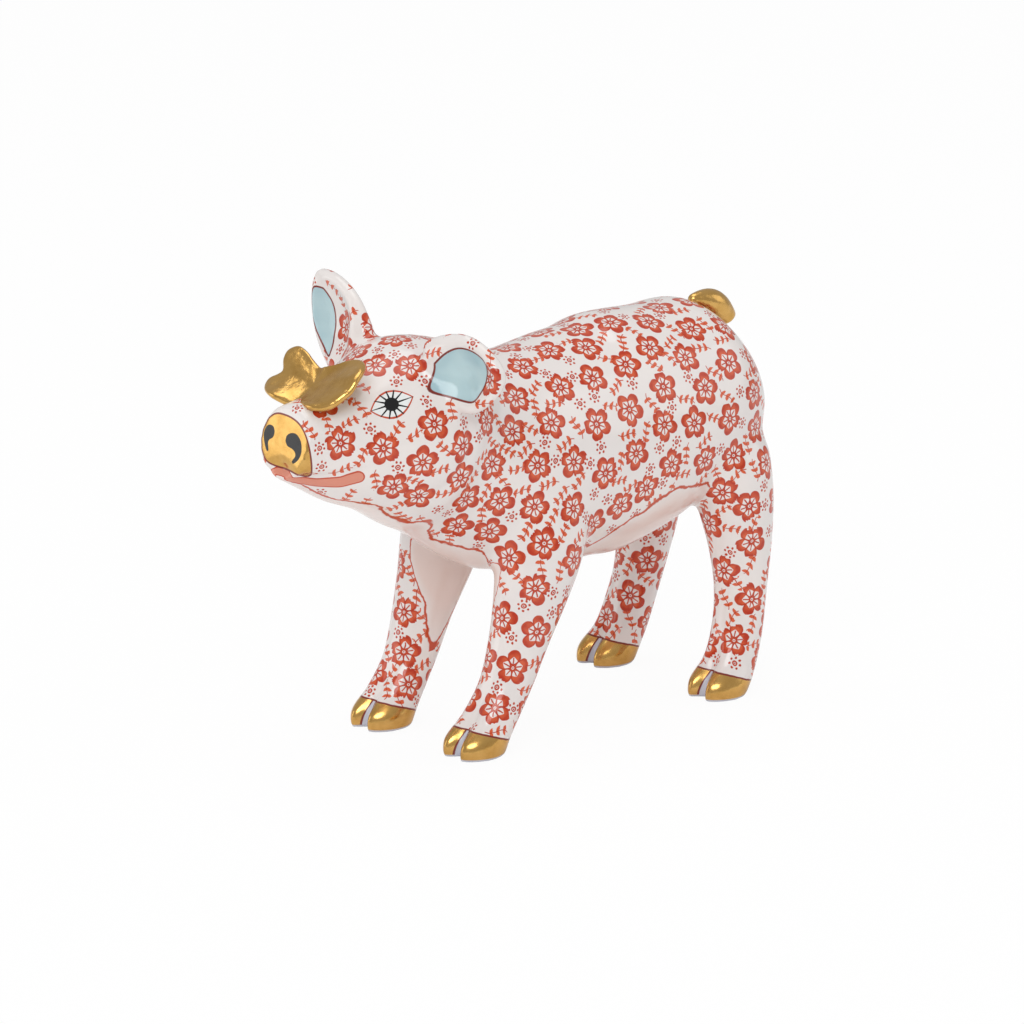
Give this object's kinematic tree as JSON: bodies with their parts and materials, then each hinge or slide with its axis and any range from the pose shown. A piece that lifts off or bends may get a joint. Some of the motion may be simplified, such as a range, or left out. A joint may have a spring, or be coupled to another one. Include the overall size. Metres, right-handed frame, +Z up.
{
  "type": "pig figurine",
  "caption": "Standing hand-painted porcelain pig ornament with cupped ears, a curled tail and a gilt butterfly perched on its snout.",
  "frame": {"origin": "middle of the bounding box, on the plane that the four soles stand on", "axes": "+X from the snout back to the tail, +Y towards the animal's right flank, +Z up"},
  "size_m": [0.0834, 0.0384, 0.0629],
  "materials": {
    "porcelain_body": "clear gloss glaze, hand painted",
    "porcelain_head": "clear gloss glaze, hand painted",
    "porcelain_legs": "clear gloss glaze, hand painted",
    "porcelain_ears": "clear gloss glaze, hand painted",
    "gilt_tail": "burnished gilding over glaze",
    "gilt_butterfly": "burnished gilding over glaze"
  },
  "bodies": {
    "root": {"torso": "porcelain_body", "head": "porcelain_head", "leg_front_left": "porcelain_legs", "leg_front_right": "porcelain_legs", "leg_hind_left": "porcelain_legs", "leg_hind_right": "porcelain_legs", "ear_left": "porcelain_ears", "ear_right": "porcelain_ears", "tail": "gilt_tail", "butterfly": "gilt_butterfly"}
  },
  "joints": []
}
